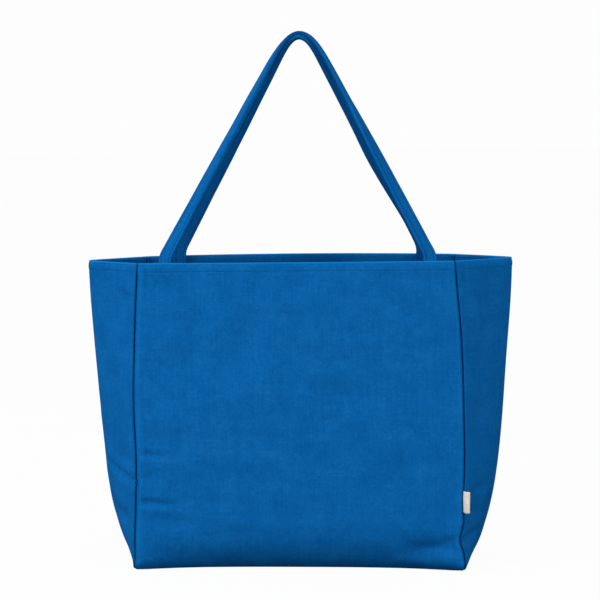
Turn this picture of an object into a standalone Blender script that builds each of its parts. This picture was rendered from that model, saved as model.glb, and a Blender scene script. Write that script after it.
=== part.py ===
# Cotton canvas tote bag: one folded strip for front, base and back, two side
# gussets that fold outwards at the mouth, two strap handles and a side label.
# Metres, +Z up, front towards -Y, origin at the middle of the underside.
import bpy
import numpy as np
from math import radians, sin, cos, tan, pi, acos, atan2, hypot

# Bag body
BAG_HEIGHT = 0.3675
MOUTH_WIDTH = 0.378
BASE_WIDTH = 0.394
GUSSET_WIDTH = 0.150
MOUTH_GUSSET_WIDTH = 0.157
MOUTH_FOLD = radians(57.4)
FOLD_RISE = 0.44
FOLD_START = 0.015
FRONT_RIM_BOW = 0.004
BACK_RIM_BOW = 0.024
BELLY_BOW = 0.006
LEFT_BULGE = 0.0066
RIGHT_BULGE = 0.0018
BULGE_HEIGHT = 0.070
BULGE_SPREAD = 0.062
SEAM_CORNER_RADIUS = 0.008
PANEL_CORNER_RADIUS = 0.027
RIM_CREASE_SOFTNESS = 0.15
BASE_CREASE_SOFTNESS = 1.35

# Soft folds in the cloth: place across (-1 to 1 from seam to seam) and up,
# half length across, half width, slope and depth
FRONT_FOLDS = (
    dict(across=-0.78, height=0.138, length=0.30, width=0.021, slope=-0.030, depth=0.0026),
    dict(across=-0.70, height=0.078, length=0.26, width=0.018, slope=0.020, depth=0.0020),
    dict(across=0.62, height=0.056, length=0.34, width=0.022, slope=-0.045, depth=0.0028),
    dict(across=0.10, height=0.250, length=0.55, width=0.060, slope=0.060, depth=0.0014),
)
BACK_FOLDS = (
    dict(across=-0.45, height=0.120, length=0.40, width=0.026, slope=0.040, depth=0.0024),
    dict(across=0.66, height=0.200, length=0.30, width=0.024, slope=-0.060, depth=0.0022),
)
LEFT_FOLDS = (
    dict(across=-0.50, height=0.118, length=0.42, width=0.020, slope=-0.034, depth=0.0052),
    dict(across=-0.55, height=0.292, length=0.30, width=0.026, slope=-0.060, depth=0.0034),
    dict(across=0.45, height=0.180, length=0.40, width=0.026, slope=0.050, depth=0.0036),
)
RIGHT_FOLDS = (
    dict(across=-0.45, height=0.098, length=0.40, width=0.022, slope=-0.040, depth=0.0040),
    dict(across=0.50, height=0.235, length=0.40, width=0.028, slope=0.060, depth=0.0034),
)

# Cloth, seams and hem
CANVAS = 0.0012
LAYER_GAP = 0.0003
SEAM_GAP = 0.0006
STRAP_GAP = 0.0012
SEAM_ALLOWANCE = 0.009
RIM_ALLOWANCE = 0.003
SEAM_FOLD_RADIUS = 0.0009
HEM_DEPTH = 0.0135
HEM_INSET = 0.0012

# Handles
STRAP_WIDTH = 0.0150
STRAP_THICKNESS = 0.0044
STRAP_EDGE_ROUND = 0.0013
FRONT_HANDLE_SPAN = 0.317
BACK_HANDLE_SPAN = 0.298
HANDLE_DROP = 0.2683
HANDLE_TOP_RADIUS = 0.0225
HANDLE_BEND_RADIUS = 0.044
HANDLE_NEST_GAP = 0.0014
HANDLE_TOP_SHIFT = 0.0034
EARLY_TWIST = radians(32)
EARLY_TWIST_HEIGHT = 0.016
TWIST_HOLD = 0.36
TWIST_END = 0.80

# Side label
LABEL_LENGTH = 0.0275
LABEL_REACH = 0.0066
LABEL_TAIL = 0.0050
LABEL_BOTTOM = 0.0650
RIBBON = 0.0003
LABEL_TURN_RADIUS = 0.0022
LABEL_LEAN = radians(12)
SEAM_SPREAD_LENGTH = 0.050

# How finely the curved forms are divided
PANEL_COLUMNS = 18
WALL_ROWS = 15
CORNER_ROWS = 3
GUSSET_COLUMNS = 12
FOLD_STEPS = 3

HALF_CANVAS = CANVAS / 2
LAYER_PITCH = CANVAS + LAYER_GAP
HEM_TURN_RADIUS = LAYER_PITCH / 2
WALL_TOP = BAG_HEIGHT - HALF_CANVAS - HEM_TURN_RADIUS


def height_share(z):
    return np.clip((z - HALF_CANVAS) / (BAG_HEIGHT - CANVAS), 0.0, 1.0)


# The gusset keeps its width, so its seams come together as its fold goes out.
def fold_angle(z):
    low = FOLD_START ** FOLD_RISE
    high = (1 + FOLD_START) ** FOLD_RISE
    return MOUTH_FOLD * ((height_share(z) + FOLD_START) ** FOLD_RISE - low) / (high - low)


def gusset_half_width(z):
    return (GUSSET_WIDTH + (MOUTH_GUSSET_WIDTH - GUSSET_WIDTH) * height_share(z)) / 2 - HALF_CANVAS


def seam_depth(z):
    return gusset_half_width(z) * np.cos(fold_angle(z))


# How far a gusset's middle fold stands out, with a soft bulge low down.
def fold_reach(side, z):
    size = LEFT_BULGE if side < 0 else RIGHT_BULGE
    bulge = size * np.exp(-((z - BULGE_HEIGHT) / BULGE_SPREAD) ** 2) * np.clip(z / BULGE_HEIGHT, 0, 1)
    return gusset_half_width(z) * np.sin(fold_angle(z)) + bulge


def seam_half_width(z):
    taper = (BASE_WIDTH - MOUTH_WIDTH) / 2
    return BASE_WIDTH / 2 - taper * height_share(z) ** 3


# Crease profile across a gusset: 0 at both seams, 1 at the middle fold.
def crease_profile(t, z):
    lowness = 1 - height_share(z)
    soft = RIM_CREASE_SOFTNESS + BASE_CREASE_SOFTNESS * lowness ** 2
    return 1 - (np.sqrt(t * t + soft * soft) - soft) / (np.sqrt(1 + soft * soft) - soft)


# How far a wall stands out between its seams; wall is -1 for the front and 1 for the back.
def panel_bow(u, z, wall):
    h = height_share(z)
    rim_bow = FRONT_RIM_BOW if wall < 0 else BACK_RIM_BOW
    return (1 - u * u) * (rim_bow * h + BELLY_BOW * 4 * h * (1 - h))


# Depth of all soft folds at a place, fading out at the seams, the hem and the foot.
def fold_depth(folds, across, z):
    depth = np.zeros_like(z * across)
    for fold in folds:
        along = (across - fold["across"]) / fold["length"]
        off = (z - fold["height"] - fold["slope"] * (across - fold["across"])) / fold["width"]
        depth = depth + fold["depth"] * np.exp(-along ** 2 - off ** 2)
    fade = np.clip((WALL_TOP - 2 * HEM_DEPTH - z) / (2 * HEM_DEPTH), 0, 1)
    fade = fade * np.clip((z - PANEL_CORNER_RADIUS) / PANEL_CORNER_RADIUS, 0, 1)
    return depth * fade * (1 - across ** 4)


def wall_y(u, z, wall):
    return seam_depth(z) + panel_bow(u, z, wall)


def corner_radius(u):
    return SEAM_CORNER_RADIUS + (PANEL_CORNER_RADIUS - SEAM_CORNER_RADIUS) * (1 - abs(u) ** 5)


# Depth and height from the rim down the wall, round the corner to the base.
def wall_profile(u, wall):
    radius = corner_radius(u)
    foot = HALF_CANVAS + radius
    z_wall = foot + (WALL_TOP - foot) * np.linspace(1, 0, WALL_ROWS + 1)
    y_wall = wall_y(u, z_wall, wall)
    turn = np.linspace(0, pi / 2, CORNER_ROWS + 1)[1:]
    y_turn = y_wall[-1] - radius * (1 - np.cos(turn))
    z_turn = HALF_CANVAS + radius * (1 - np.sin(turn))
    return np.concatenate([y_wall, y_turn]), np.concatenate([z_wall, z_turn])


# The whole strip at one place across: front wall, base and back wall.
def strip_profile(u):
    y, z = wall_profile(u, -1)
    front = -y + fold_depth(FRONT_FOLDS, u, z)
    back = wall_profile(u, 1)[0] - fold_depth(BACK_FOLDS, u, z)
    base = np.linspace(front[-1], back[-1], GUSSET_COLUMNS + 1)[1:-1]
    y_all = np.concatenate([front, base, back[::-1]])
    z_all = np.concatenate([z, np.full(len(base), HALF_CANVAS), z[::-1]])
    return y_all, z_all


def unit(vectors):
    return vectors / np.linalg.norm(vectors, axis=-1, keepdims=True)


# Seam line of one side as points, from the front rim under the base to the back rim.
def seam_line(side):
    y, z = strip_profile(1.0)
    return np.stack([side * seam_half_width(z), y, z], axis=1)


# Gusset rows from the seam's foot up to the rim, each from front seam to back seam.
def gusset_rows(side):
    y, z = wall_profile(1.0, -1)
    y, z = y[:WALL_ROWS + 1][::-1], z[:WALL_ROWS + 1][::-1]
    t = np.linspace(-1, 1, GUSSET_COLUMNS + 1)
    folds = LEFT_FOLDS if side < 0 else RIGHT_FOLDS
    rows = []
    for depth, height in zip(y, z):
        x = side * (gusset_x(side, t, height) - fold_depth(folds, t, height))
        rows.append(np.stack([x, depth * t, np.full(len(t), height)], axis=1))
    return np.array(rows)


# Direction from each seam point into the gusset, square to the seam.
def gusset_directions(side, line, tangents):
    rows = gusset_rows(side)
    walls = WALL_ROWS + 1
    corner = CORNER_ROWS
    inner = np.empty_like(line)
    inner[:walls] = rows[::-1, 1]
    inner[-walls:] = rows[:, -2]
    inner[walls:walls + corner] = rows[0, 1]
    inner[-walls - corner:-walls] = rows[0, -2]
    inner[walls + corner:-walls - corner] = rows[0, 1:-1]
    away = inner - line
    away -= np.sum(away * tangents, axis=1, keepdims=True) * tangents
    return unit(away)


# Half the distance between the two seam allowances, wider where the label is caught.
def seam_half_gap(side, line):
    gap = np.full(len(line), (CANVAS + SEAM_GAP) / 2)
    spread = (label_thickness() + SEAM_GAP) / 2
    middle = LABEL_BOTTOM + LABEL_LENGTH / 2
    if side > 0:
        bell = np.exp(-((line[:, 2] - middle) / SEAM_SPREAD_LENGTH) ** 4)
        gap += np.where(line[:, 1] < 0, spread * bell, 0.0)
    return gap


def label_thickness():
    return 2 * RIBBON + LAYER_GAP


# Seam frame: direction into the panel, into the gusset, and the way the allowances turn.
def seam_frame(side):
    line = seam_line(side)
    tangents = unit(np.gradient(line, axis=0))
    panel = np.zeros_like(line)
    panel[:, 0] = -side
    panel -= np.sum(panel * tangents, axis=1, keepdims=True) * tangents
    panel = unit(panel)
    gusset = gusset_directions(side, line, tangents)
    inward = unit(panel + gusset)
    return line, panel, gusset, inward


# Length of the allowances: full on the straights, clipped at the corners and under the rim.
def allowance_lengths(line):
    z = line[:, 2]
    near_rim = np.clip((BAG_HEIGHT - z) / (2 * HEM_DEPTH), 0, 1)
    length = RIM_ALLOWANCE + (SEAM_ALLOWANCE - RIM_ALLOWANCE) * near_rim
    turn = np.zeros(len(line))
    first = WALL_ROWS
    last = len(line) - WALL_ROWS - 1
    for start, step in ((first, 1), (last, -1)):
        for k in range(CORNER_ROWS + 1):
            turn[start + step * k] = 1
    clipped = min(SEAM_ALLOWANCE, 0.6 * SEAM_CORNER_RADIUS)
    return np.where(turn > 0, np.minimum(length, clipped), length)


# A sheet's edge: it comes along one direction, rolls over a small fold and runs inwards.
# Returned as columns, the first on the sheet itself and the last at the cut edge.
def seam_edge(line, sheet, inward, half_gap, lengths):
    cosine = np.sum(sheet * inward, axis=1)
    angle = np.arccos(cosine)[:, None]
    corner = line + sheet * half_gap[:, None] / np.sin(angle)
    reach = SEAM_FOLD_RADIUS / np.tan(angle / 2)
    middle = corner + unit(sheet + inward) * SEAM_FOLD_RADIUS / np.sin(angle / 2)
    start = corner + sheet * reach - middle
    end = corner + inward * reach - middle
    sweep = pi - angle
    columns = []
    for f in np.linspace(0, 1, FOLD_STEPS + 1):
        mixed = (np.sin((1 - f) * sweep) * start + np.sin(f * sweep) * end) / np.sin(sweep)
        columns.append(middle + mixed)
    columns.append(corner + inward * (reach + lengths[:, None]))
    return columns


def grid_faces(rows, columns, offset=0):
    r, c = np.meshgrid(np.arange(rows - 1), np.arange(columns - 1), indexing="ij")
    a = (offset + r * columns + c).ravel()
    return np.stack([a, a + 1, a + columns + 1, a + columns], axis=1).tolist()


# The hem rolls over the rim and comes down inside: the roll as (inwards, upwards) steps.
def hem_steps():
    turn = np.linspace(0, pi, 4)[1:]
    inwards = HEM_TURN_RADIUS * (1 - np.cos(turn))
    upwards = HEM_TURN_RADIUS * np.sin(turn)
    return list(zip(inwards, upwards)) + [(LAYER_PITCH, HALF_CANVAS - (HEM_DEPTH - (BAG_HEIGHT - WALL_TOP)))]


# Front, base and back as one sheet, with its allowances and its two hems.
def main_panel_surface():
    edges = []
    for side in (-1, 1):
        line, panel, gusset, inward = seam_frame(side)
        gap = seam_half_gap(side, line)
        edges.append(seam_edge(line, panel, inward, gap, allowance_lengths(line)))
    left, right = edges
    columns = left[::-1]
    for u in np.linspace(-1, 1, PANEL_COLUMNS + 1)[1:-1]:
        y, z = strip_profile(u)
        share = (u + 1) / 2
        x = left[0][:, 0] * (1 - share) + right[0][:, 0] * share
        columns.append(np.stack([x, y, z], axis=1))
    columns += right
    points = np.stack(columns, axis=1)
    rows, count = points.shape[:2]
    vertices = points.reshape(-1, 3)
    faces = grid_faces(rows, count)
    first = len(left) - 1
    for row, front in ((0, True), (rows - 1, False)):
        rim = points[row, first:first + PANEL_COLUMNS + 1]
        ring = list(range(row * count + first, row * count + first + len(rim)))
        vertices, faces = add_panel_hem(vertices, faces, rim, ring, 1 if front else -1)
    return vertices, faces


def add_panel_hem(vertices, faces, rim, ring, inwards):
    half = rim[-1, 0]
    narrow = (half - HEM_INSET) / half
    u = np.linspace(-1, 1, len(rim))
    for across, up in hem_steps():
        z = WALL_TOP + up
        layer = rim.copy()
        layer[:, 0] *= narrow
        layer[:, 1] = inwards * (across - wall_y(u, min(z, WALL_TOP), -inwards))
        layer[:, 2] = z
        start = len(vertices)
        fresh = list(range(start, start + len(layer)))
        for k in range(len(layer) - 1):
            quad = [ring[k], fresh[k], fresh[k + 1], ring[k + 1]]
            faces.append(quad if inwards > 0 else quad[::-1])
        vertices = np.concatenate([vertices, layer])
        ring = fresh
    return vertices, faces


# One side: a sheet sewn to the strip along front, base and back, free at the rim.
def gusset_surface(side):
    line, panel, gusset, inward = seam_frame(side)
    gap = seam_half_gap(side, line)
    edge = seam_edge(line, gusset, inward, gap, allowance_lengths(line))
    rows = gusset_rows(side)
    border = np.stack(edge, axis=1)
    vertices = border.reshape(-1, 3)
    width = border.shape[1]
    faces = [face[::-side] for face in grid_faces(len(border), width)]
    walls = WALL_ROWS + 1
    inner = rows[:, 1:-1]
    base = len(vertices)
    vertices = np.concatenate([vertices, inner.reshape(-1, 3)])
    span = inner.shape[1]

    def seam(k):
        return k * width

    def field(r, c):
        return base + r * span + c

    table = []
    for r in range(walls):
        front, back = seam(walls - 1 - r), seam(len(line) - walls + r)
        table.append([front] + [field(r, c) for c in range(span)] + [back])
    faces += [face[::-side] for face in table_faces(table)]
    foot = list(range(walls, len(line) - walls))
    faces += [face[::-side] for face in foot_faces(table[0], [seam(k) for k in foot])]
    return add_gusset_hem(vertices, faces, table[-1], side)


def table_faces(table):
    faces = []
    for low, high in zip(table[:-1], table[1:]):
        for k in range(len(low) - 1):
            faces.append([low[k], low[k + 1], high[k + 1], high[k]])
    return faces


# Fill between the lowest full row and the seam round the corners and along the base.
def foot_faces(row, foot):
    corner = CORNER_ROWS
    faces = []
    start = [row[0]] + foot[:corner + 1]
    for a, b in zip(start[:-1], start[1:]):
        faces.append([a, b, row[1]])
    straight = foot[corner:len(foot) - corner]
    for k in range(len(straight) - 1):
        faces.append([straight[k], straight[k + 1], row[k + 2], row[k + 1]])
    end = foot[len(foot) - corner - 1:] + [row[-1]]
    for a, b in zip(end[:-1], end[1:]):
        faces.append([a, b, row[-2]])
    return faces


def add_gusset_hem(vertices, faces, ring, side):
    rim = vertices[ring]
    along = np.gradient(rim, axis=0)
    inwards = unit(np.stack([-side * along[:, 1], side * along[:, 0], np.zeros(len(rim))], axis=1))
    ends = np.zeros((len(rim), 1))
    ends[0], ends[-1] = 1, -1
    slide = ends * unit(along) * HEM_INSET
    for across, up in hem_steps():
        drop = min(up, 0.0)
        layer = rim + inwards * across + slide
        layer += lean_at_rim(side, rim) * drop
        layer[:, 2] = WALL_TOP + up
        start = len(vertices)
        fresh = list(range(start, start + len(layer)))
        for k in range(len(layer) - 1):
            quad = [ring[k], ring[k + 1], fresh[k + 1], fresh[k]]
            faces.append(quad[::-side])
        vertices = np.concatenate([vertices, layer])
        ring = fresh
    return vertices, faces


# How much the gusset's rim points move sideways for each metre of height.
def lean_at_rim(side, rim):
    step = HEM_DEPTH
    t = np.linspace(-1, 1, len(rim))
    top = np.stack([gusset_x(side, t, WALL_TOP), seam_depth(WALL_TOP) * t], axis=1)
    low = np.stack([gusset_x(side, t, WALL_TOP - step), seam_depth(WALL_TOP - step) * t], axis=1)
    lean = np.zeros_like(rim)
    lean[:, :2] = (top - low) / step
    lean[:, 0] *= side
    return lean


def gusset_x(side, t, z):
    return seam_half_width(z) + fold_reach(side, z) * crease_profile(t, z)


# Half of a handle's path from its foot at the rim to its top, as (x, height above rim):
# upright, a bend, a straight leg and the rounded top, each tangent to the next.
def handle_leg(half_span, drop, top_radius):
    across = half_span - HANDLE_BEND_RADIUS
    rise = drop - top_radius
    reach = hypot(across, rise)
    lean = acos((top_radius - HANDLE_BEND_RADIUS) / reach) - atan2(rise, across)
    points = [(half_span, -HEM_DEPTH), (half_span, -HEM_DEPTH / 2)]
    for a in np.linspace(0, lean, 6):
        points.append((across + HANDLE_BEND_RADIUS * cos(a), HANDLE_BEND_RADIUS * sin(a)))
    start = np.array(points[-1])
    end = np.array((top_radius * cos(lean), rise + top_radius * sin(lean)))
    for f in np.linspace(0, 1, 10)[1:-1]:
        points.append(tuple(start + (end - start) * f))
    for a in np.linspace(lean, pi / 2, 8):
        points.append((top_radius * cos(a), rise + top_radius * sin(a)))
    return np.array(points)


def smooth_step(low, high, value):
    s = np.clip((value - low) / (high - low), 0, 1)
    return s * s * (3 - 2 * s)


# The strap turns a little soon after the rim and stands on edge before the top.
def strap_twist(height, drop):
    early = EARLY_TWIST * (1 - np.exp(-np.maximum(height, 0) / EARLY_TWIST_HEIGHT))
    late = (pi / 2 - EARLY_TWIST) * smooth_step(TWIST_HOLD, TWIST_END, height / drop)
    return early + late


# Strap section: a flat bar with rounded edges, as (through, across) pairs.
def strap_section():
    half_t, half_w = STRAP_THICKNESS / 2, STRAP_WIDTH / 2
    shoulder = half_w - STRAP_EDGE_ROUND
    waist = half_t - STRAP_EDGE_ROUND
    corner = [(half_t, shoulder), (waist, half_w)]
    section = corner + [(-a, b) for a, b in corner[::-1]]
    section += [(-a, -b) for a, b in corner] + [(a, -b) for a, b in corner[::-1]]
    return np.array(section)


def handle_seat(u, wall):
    return wall_y(u, WALL_TOP, wall) - LAYER_PITCH - HALF_CANVAS - STRAP_GAP - STRAP_THICKNESS / 2


# Slope of the wall across the panel where a handle's foot lies on it.
def wall_slope(u, z, wall):
    step = STRAP_WIDTH / MOUTH_WIDTH
    return (wall_y(u + step, z, wall) - wall_y(u - step, z, wall)) / (step * MOUTH_WIDTH)


# A strap from hem to hem on one panel; outward is -1 for the front and 1 for the back.
def handle_surface(half_span, drop, top_radius, outward):
    leg = handle_leg(half_span, drop, top_radius)
    right = leg[:-1][::-1] * (1, 1)
    xz = np.concatenate([leg * (-1, 1), right])
    rise = np.clip(xz[:, 1] / drop, 0, 1)
    u = half_span / (MOUTH_WIDTH / 2)
    seat = handle_seat(u, outward)
    low = WALL_TOP - HEM_DEPTH
    lean = (wall_y(u, low, outward) - wall_y(u, WALL_TOP, outward)) / HEM_DEPTH
    y = outward * (seat * (1 - rise ** 1.15) - lean * np.minimum(xz[:, 1], 0))
    x = xz[:, 0] + HANDLE_TOP_SHIFT * smooth_step(0.1, 1.0, rise)
    path = np.stack([x, y, BAG_HEIGHT + xz[:, 1]], axis=1)
    tangent = unit(np.gradient(path, axis=0))
    upper = np.stack([-tangent[:, 2], np.zeros(len(path)), tangent[:, 0]], axis=1)
    facing = np.zeros_like(path)
    facing[:, 0] = -wall_slope(u, WALL_TOP, outward) * path[:, 0] / half_span
    facing[:, 1] = outward
    facing = unit(facing)
    twist = strap_twist(xz[:, 1], drop)[:, None]
    normal = np.cos(twist) * facing + np.sin(twist) * upper
    normal = unit(normal - np.sum(normal * tangent, axis=1, keepdims=True) * tangent)
    across = np.cross(tangent, normal)
    section = strap_section()
    rings = [path + normal * a + across * b for a, b in section]
    points = np.stack(rings, axis=1)
    rows, count = points.shape[:2]
    faces = []
    for r in range(rows - 1):
        for c in range(count):
            n = (c + 1) % count
            faces.append([r * count + c, r * count + n, (r + 1) * count + n, (r + 1) * count + c])
    faces.append(list(range(count))[::-1])
    faces.append(list(range((rows - 1) * count, rows * count)))
    return points.reshape(-1, 3), faces


# Ribbon folded end to end, caught by its tail in the right front seam.
def label_surface():
    line, panel, gusset, inward = seam_frame(1)
    walls = WALL_ROWS + 1
    heights = line[:walls, 2][::-1]
    rows = []
    for z in np.linspace(LABEL_BOTTOM, LABEL_BOTTOM + LABEL_LENGTH, 4):
        foot = [np.interp(z, heights, line[:walls, k][::-1]) for k in range(2)]
        way = [np.interp(z, heights, inward[:walls, k][::-1]) for k in range(2)]
        rows.append(label_row(np.array(foot), unit(np.array(way)), z))
    points = np.array(rows)
    return points.reshape(-1, 3), grid_faces(*points.shape[:2])


# One level of the label: out of the seam, round towards the side, to the fold and back.
def label_row(foot, inward, z):
    heading = atan2(-inward[1], -inward[0])
    turn = -LABEL_LEAN - heading
    out_of_seam = SEAM_FOLD_RADIUS + HALF_CANVAS
    bend = LABEL_TURN_RADIUS * tan(abs(turn) / 2)
    corner = foot - inward * (out_of_seam + bend)
    start = foot + inward * LABEL_TAIL
    middle = [start, corner + inward * bend]
    side = np.array((cos(heading + pi / 2), sin(heading + pi / 2)))
    centre = middle[1] + side * LABEL_TURN_RADIUS
    for f in (0.34, 0.67, 1.0):
        a = heading - pi / 2 + turn * f
        middle.append(centre + LABEL_TURN_RADIUS * np.array((cos(a), sin(a))))
    last = np.array((cos(-LABEL_LEAN), sin(-LABEL_LEAN)))
    for f in (0.5, 1.0):
        middle.append(middle[4] + last * LABEL_REACH * f)
    middle = np.array(middle)
    along = unit(np.gradient(middle, axis=0))
    square = np.stack([-along[:, 1], along[:, 0]], axis=1)
    apart = (RIBBON + LAYER_GAP) / 2
    front = middle - square * apart
    back = (middle + square * apart)[::-1]
    tip = [middle[-1] + along[-1] * apart]
    row = np.concatenate([front, tip, back])
    return np.column_stack([row, np.full(len(row), z)])


def make_material(name, colour, roughness):
    material = bpy.data.materials.new(name)
    material.use_nodes = True
    shader = material.node_tree.nodes["Principled BSDF"]
    shader.inputs["Base Color"].default_value = (*colour, 1.0)
    shader.inputs["Roughness"].default_value = roughness
    shader.inputs["Metallic"].default_value = 0.0
    material.diffuse_color = (*colour, 1.0)
    return material


def make_object(name, surface, material, collection):
    vertices, faces = surface
    mesh = bpy.data.meshes.new(name)
    mesh.from_pydata(np.asarray(vertices).tolist(), [], faces)
    mesh.materials.append(material)
    piece = bpy.data.objects.new(name, mesh)
    collection.objects.link(piece)
    mesh.shade_smooth()
    mesh.set_sharp_from_angle(angle=radians(40))
    return piece


def thicken(piece, thickness):
    wall = piece.modifiers.new("cloth", "SOLIDIFY")
    wall.thickness = thickness
    wall.offset = 0.0
    wall.use_even_offset = True
    wall.use_rim = True


def clear_scene():
    for piece in list(bpy.data.objects):
        bpy.data.objects.remove(piece, do_unlink=True)


def build_tote():
    clear_scene()
    collection = bpy.data.collections.new("cotton_tote_bag")
    bpy.context.scene.collection.children.link(collection)
    blue = (0.003, 0.120, 0.402)
    canvas = make_material("panel_canvas", blue, 0.88)
    side_canvas = make_material("gusset_canvas", blue, 0.88)
    strap_canvas = make_material("strap_canvas", (0.003, 0.126, 0.418), 0.86)
    ribbon = make_material("label_ribbon", (0.70, 0.64, 0.57), 0.75)

    thicken(make_object("main_panel", main_panel_surface(), canvas, collection), CANVAS)
    for name, side in (("left_gusset", -1), ("right_gusset", 1)):
        thicken(make_object(name, gusset_surface(side), side_canvas, collection), CANVAS)

    nest = STRAP_THICKNESS + HANDLE_NEST_GAP
    front = handle_surface(FRONT_HANDLE_SPAN / 2, HANDLE_DROP, HANDLE_TOP_RADIUS, -1)
    back = handle_surface(BACK_HANDLE_SPAN / 2, HANDLE_DROP - nest, HANDLE_TOP_RADIUS - nest, 1)
    make_object("front_handle", front, strap_canvas, collection)
    make_object("back_handle", back, strap_canvas, collection)
    thicken(make_object("side_label", label_surface(), ribbon, collection), RIBBON)


build_tote()
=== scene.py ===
import bpy
import bmesh
import numpy as np
from mathutils import Matrix
from math import radians, pi


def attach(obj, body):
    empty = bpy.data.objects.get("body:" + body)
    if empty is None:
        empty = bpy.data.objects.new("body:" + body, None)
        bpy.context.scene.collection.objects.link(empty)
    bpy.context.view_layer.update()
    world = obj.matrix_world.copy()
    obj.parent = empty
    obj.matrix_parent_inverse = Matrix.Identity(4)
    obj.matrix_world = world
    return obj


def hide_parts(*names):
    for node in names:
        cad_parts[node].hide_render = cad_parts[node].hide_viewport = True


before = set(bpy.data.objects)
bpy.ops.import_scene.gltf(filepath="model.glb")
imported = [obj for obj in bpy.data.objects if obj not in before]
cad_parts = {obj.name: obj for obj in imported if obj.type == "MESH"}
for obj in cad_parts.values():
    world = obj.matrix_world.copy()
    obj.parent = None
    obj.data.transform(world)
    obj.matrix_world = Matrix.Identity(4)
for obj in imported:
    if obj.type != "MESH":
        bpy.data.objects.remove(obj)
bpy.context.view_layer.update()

# The bag body: sizes that every cloth piece shares, in metres; -1 is left, 1 is right.
bag = {
    "height": 0.3675,
    "mouthWidth": 0.3775,
    "baseWidth": 0.3935,
    "gussetWidth": 0.150,
    "mouthGussetWidth": 0.157,
    "mouthFold": radians(57.4),
    "foldRise": 0.44,
    "foldStart": 0.015,
    "lowBulge": {-1: 0.0050, 1: 0.0022},
    "bulgeAt": 0.070,
    "bulgeSpread": 0.062,
    "slack": {-1: 0.0020, 1: 0.0030},
    "slackAt": 0.245,
    "slackSpread": 0.080,
    "frontDrop": 0.0016,
    "frontBow": 0.004,
    "backBow": 0.024,
    "bellyBow": 0.006,
    "seamCorner": 0.010,
    "panelCorner": {"deep": 0.030, "high": 0.054},
    "baseRound": 0.0055,
    "cornerLift": 0.0018,
    "liftSpread": 0.014,
    "tuck": 0.009,
    "tuckTop": 0.064,
    "mouthCrease": 0.12,
    "baseCrease": 1.35,
    "canvas": 0.0011,
    "seamRound": 0.0016,
    "seamGap": 0.0006,
    "ridge": 0.0009,
    "ridgeAt": 0.0050,
    "allowance": 0.009,
    "hemDepth": 0.0135,
    "hemRoll": 0.00085,
    "hemShift": 0.0009,
}
half = bag["canvas"] / 2
wallTop = bag["height"] - half - bag["hemRoll"]


def unit(v):
    return v / np.linalg.norm(v, axis=-1, keepdims=True)


def smoothStep(low, high, value):
    s = np.clip((value - low) / (high - low), 0, 1)
    return s * s * (3 - 2 * s)


# Smooth random field: a sum of sine waves with seeded directions and phases, about -1 to 1.
def softField(a, b, size, seed, waves=18):
    rng = np.random.default_rng(seed)
    total = np.zeros(np.broadcast(a, b).shape)
    turns = rng.uniform(0, pi, waves)
    phases = rng.uniform(0, 2 * pi, waves)
    stretches = rng.uniform(0.6, 1.7, waves)
    for turn, phase, stretch in zip(turns, phases, stretches):
        total += np.sin((a * np.cos(turn) + b * np.sin(turn)) * 2 * pi * stretch / size + phase)
    return total / np.sqrt(waves)


def share(z):
    return np.clip((z - half) / (bag["height"] - bag["canvas"]), 0, 1)


# The gusset keeps its width: as its middle fold goes out, its two seams come together.
def foldAngle(z):
    low = bag["foldStart"] ** bag["foldRise"]
    high = (1 + bag["foldStart"]) ** bag["foldRise"]
    return bag["mouthFold"] * ((share(z) + bag["foldStart"]) ** bag["foldRise"] - low) / (high - low)


def gussetHalf(z):
    return (bag["gussetWidth"] + (bag["mouthGussetWidth"] - bag["gussetWidth"]) * share(z)) / 2 - half


def seamDepth(z):
    return gussetHalf(z) * np.cos(foldAngle(z))


# How far the middle fold stands out, with a soft bulge low down and some slack halfway up.
def foldReach(side, z):
    bulge = bag["lowBulge"][side] * np.exp(-((z - bag["bulgeAt"]) / bag["bulgeSpread"]) ** 2)
    bulge = bulge * smoothStep(0.0, bag["bulgeAt"] / 2, z)
    slack = bag["slack"][side] * np.exp(-((z - bag["slackAt"]) / bag["slackSpread"]) ** 2)
    return gussetHalf(z) * np.sin(foldAngle(z)) + bulge - slack


# The front rim hangs a little lower than the back one; y is the depth, negative at the front.
def settle(points):
    lowered = points.copy()
    front = np.clip(0.5 - points[..., 1] / 0.092, 0, 1)
    lowered[..., 2] -= bag["frontDrop"] * front * np.clip(points[..., 2] / bag["height"], 0, 1)
    return lowered


# Half the strip's width: narrower at the mouth, and rounded in at the lowest corners.
def seamHalfWidth(z):
    low = np.clip(1 - (z - half) / bag["baseRound"], 0, 1)
    corner = 0.8 * bag["baseRound"] * (1 - np.sqrt(1 - low * low))
    return bag["baseWidth"] / 2 - (bag["baseWidth"] - bag["mouthWidth"]) / 2 * share(z) ** 3 - corner


def creaseProfile(t, z):
    soft = bag["mouthCrease"] + bag["baseCrease"] * (1 - share(z)) ** 2
    return 1 - (np.sqrt(t * t + soft * soft) - soft) / (np.sqrt(1 + soft * soft) - soft)


def wallDepth(u, z, wall):
    h = share(z)
    bow = bag["frontBow"] if wall < 0 else bag["backBow"]
    tuck = bag["tuck"] * (1 - smoothStep(0.0, bag["tuckTop"], z)) * (1 - np.abs(u) ** 3)
    return seamDepth(z) + (1 - u * u) * (bow * h + bag["bellyBow"] * 4 * h * (1 - h)) - tuck


# Heights of the wall rows from the rim down: close together in the hem, wider below.
wallHeights = np.concatenate([
    np.linspace(wallTop, wallTop - 0.016, 17)[:-1],
    np.linspace(wallTop - 0.016, 0.060, 84)[:-1],
    np.linspace(0.060, half + bag["panelCorner"]["high"], 12),
])
turnSteps = 12


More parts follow.
